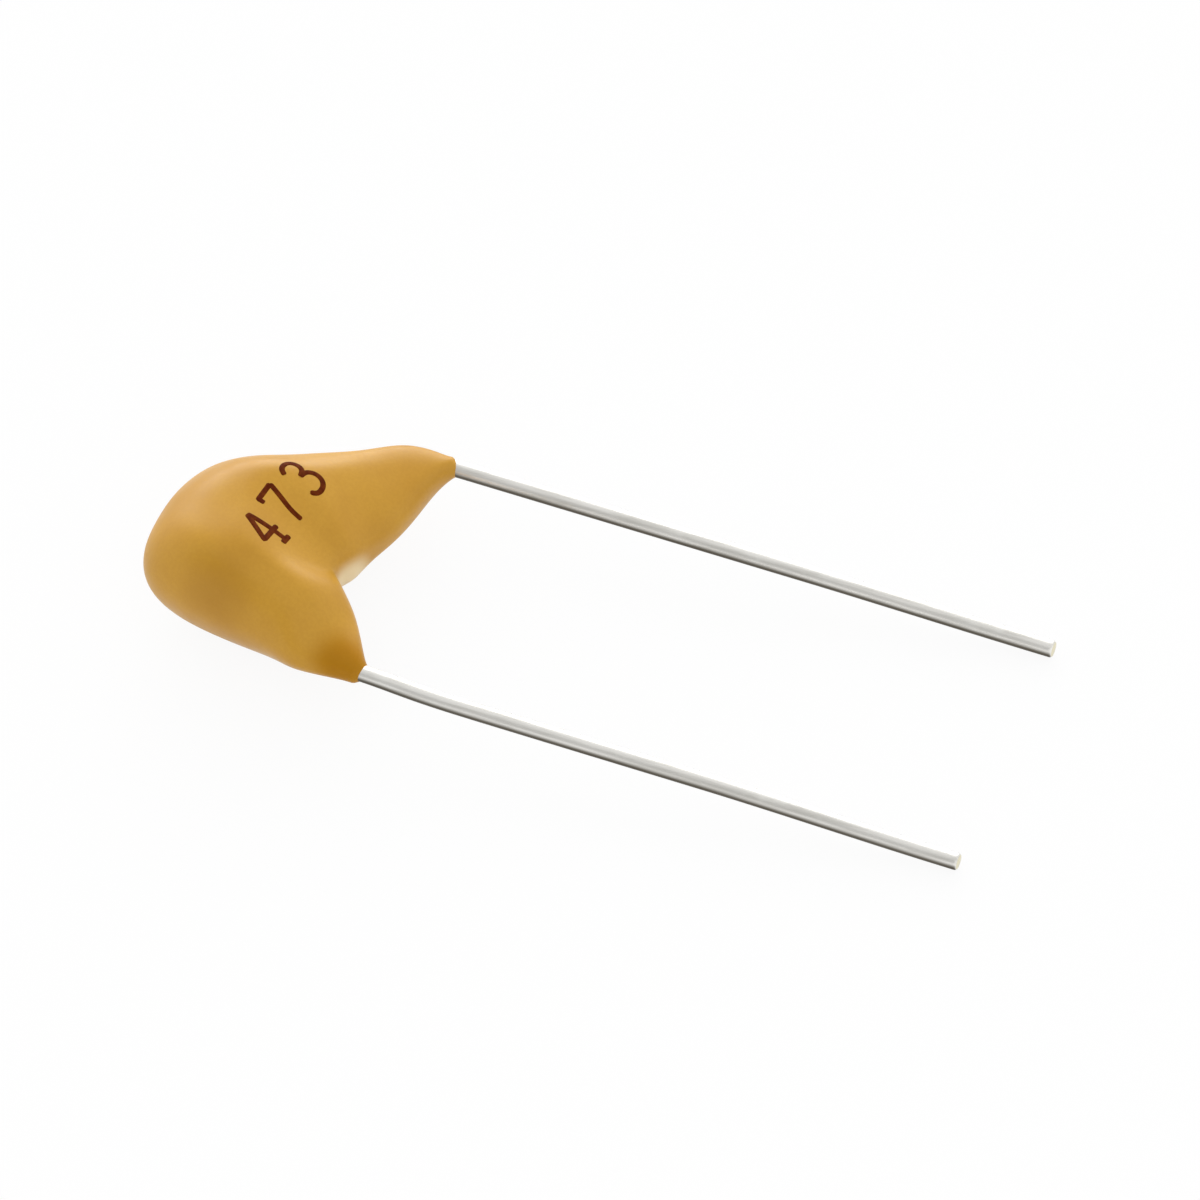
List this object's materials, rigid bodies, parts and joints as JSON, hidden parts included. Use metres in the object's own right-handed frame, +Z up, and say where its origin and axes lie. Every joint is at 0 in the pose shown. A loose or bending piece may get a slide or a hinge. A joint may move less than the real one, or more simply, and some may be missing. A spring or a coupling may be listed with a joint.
{
  "type": "ceramic capacitor",
  "caption": "Radial-lead dipped ceramic capacitor: a chip soldered between straight tinned wire leads, under a pebble of tan epoxy with a leg running down each lead.",
  "frame": {"origin": "bottom centre of the box round the part as it lies at rest", "axes": "+X along the leads from the coating to their cut ends, +Y from the near lead to the far one, +Z up"},
  "size_m": [0.0162, 0.0056, 0.0025],
  "materials": {
    "epoxy": "satin dipped epoxy",
    "tinned_wire": "tin plated",
    "fired_ceramic": "matt fired",
    "cap_metal": "tin plated",
    "solder": "bright solder"
  },
  "bodies": {
    "root": {"epoxy_coating": "epoxy", "lead_near": "tinned_wire", "lead_far": "tinned_wire", "ceramic_chip": "fired_ceramic", "end_cap_near": "cap_metal", "end_cap_far": "cap_metal", "solder_joint_near": "solder", "solder_joint_far": "solder"}
  },
  "joints": []
}
